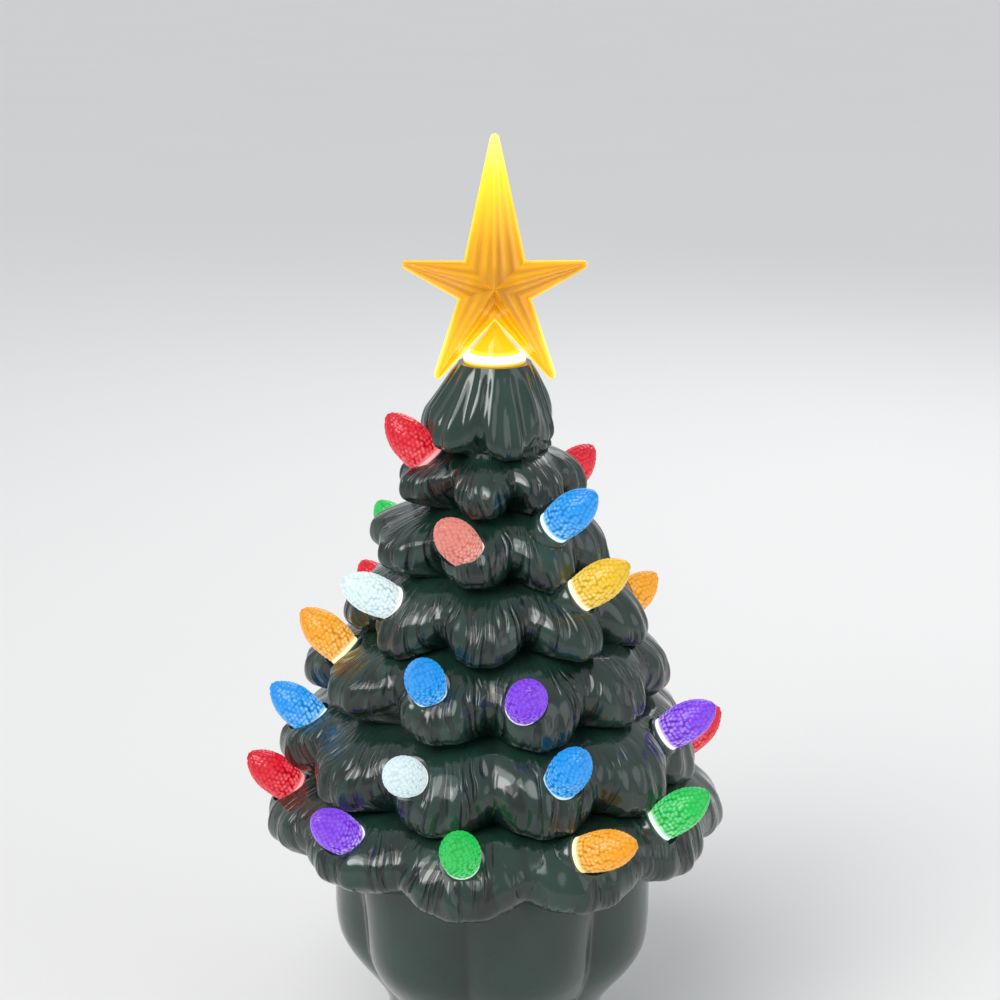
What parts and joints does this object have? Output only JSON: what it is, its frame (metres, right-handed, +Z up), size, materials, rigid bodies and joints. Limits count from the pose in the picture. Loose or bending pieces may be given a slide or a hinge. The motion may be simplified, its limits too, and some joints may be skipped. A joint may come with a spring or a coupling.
{
  "type": "lighted ceramic tree",
  "caption": "Tabletop glazed ceramic conifer with drooping bough tiers, pebbled coloured bulb pegs lit from inside, a pull-off amber star and a battery base with a switch.",
  "frame": {"origin": "on the table under the tree's axis, at the bottom of the rubber feet", "axes": "+Z up along the tree's axis, the front faces -Y, +X to the right seen from the front"},
  "size_m": [0.1555, 0.1575, 0.3013],
  "materials": {
    "green_glaze": "deep green gloss glaze over moulded needle lines",
    "amber_plastic": "clear amber moulded plastic, lit from below",
    "base_plastic": "fine matt moulded",
    "screw_steel": "zinc plated",
    "contact_metal": "nickel plated",
    "foot_rubber": "soft matt",
    "switch_metal": "folded tin plate",
    "switch_plastic": "ribbed",
    "board": "white circuit laminate",
    "lamp_plastic": "white moulded",
    "chip": "clear lens",
    "cell_wrap": "plain shrink sleeve",
    "bulb_red": "pebbled translucent plastic, lit through its stem",
    "bulb_green": "pebbled translucent plastic, lit through its stem",
    "bulb_blue": "pebbled translucent plastic, lit through its stem",
    "bulb_pink": "pebbled translucent plastic, lit through its stem",
    "bulb_yellow": "pebbled translucent plastic, lit through its stem",
    "bulb_white": "pebbled translucent plastic, lit through its stem",
    "bulb_orange": "pebbled translucent plastic, lit through its stem",
    "bulb_purple": "pebbled translucent plastic, lit through its stem"
  },
  "bodies": {
    "tree": {"base_plate": "base_plastic", "battery_1": "cell_wrap", "battery_2": "cell_wrap", "battery_3": "cell_wrap", "battery_contacts": "contact_metal", "bulb_blue_1": "bulb_blue", "bulb_blue_2": "bulb_blue", "bulb_blue_3": "bulb_blue", "bulb_blue_4": "bulb_blue", "bulb_blue_5": "bulb_blue", "bulb_blue_6": "bulb_blue", "bulb_green_1": "bulb_green", "bulb_green_2": "bulb_green", "bulb_green_3": "bulb_green", "bulb_green_4": "bulb_green", "bulb_green_5": "bulb_green", "bulb_orange_1": "bulb_orange", "bulb_orange_2": "bulb_orange", "bulb_orange_3": "bulb_orange", "bulb_orange_4": "bulb_orange", "bulb_pink_1": "bulb_pink", "bulb_pink_2": "bulb_pink", "bulb_purple_1": "bulb_purple", "bulb_purple_2": "bulb_purple", "bulb_purple_3": "bulb_purple", "bulb_red_1": "bulb_red", "bulb_red_2": "bulb_red", "bulb_red_3": "bulb_red", "bulb_red_4": "bulb_red", "bulb_red_5": "bulb_red", "bulb_red_6": "bulb_red", "bulb_white_1": "bulb_white", "bulb_white_2": "bulb_white", "bulb_white_3": "bulb_white", "bulb_white_4": "bulb_white", "bulb_yellow_1": "bulb_yellow", "bulb_yellow_2": "bulb_yellow", "bulb_yellow_3": "bulb_yellow", "bulb_yellow_4": "bulb_yellow", "control_board": "board", "lamp_post": "lamp_plastic", "light_chips": "chip", "light_strip_1": "board", "light_strip_2": "board", "light_strip_3": "board", "light_strip_4": "board", "rubber_feet": "foot_rubber", "star_leads": "contact_metal", "star_led": "chip", "switch_body": "switch_metal", "switch_pins": "contact_metal", "tree_body": "green_glaze"},
    "star": {"star_front": "amber_plastic", "star_back": "amber_plastic", "star_stem": "amber_plastic"},
    "door": {"battery_door": "base_plastic", "door_screw": "screw_steel"},
    "slider": {"switch_slider": "switch_plastic"}
  },
  "joints": [
    {"name": "star_pull", "type": "slide", "parent": "tree", "child": "star", "axis": [0, 0, 1], "range_m": [0, 0.03]},
    {"name": "door_hinge", "type": "hinge", "parent": "tree", "child": "door", "pos_m": [0, -0.02495, 0.0038], "axis": [-1, 0, 0], "range_deg": [0, 80]},
    {"name": "switch_slide", "type": "slide", "parent": "tree", "child": "slider", "axis": [0, 1, 0], "range_m": [-0.0025, 0.0025]}
  ]
}
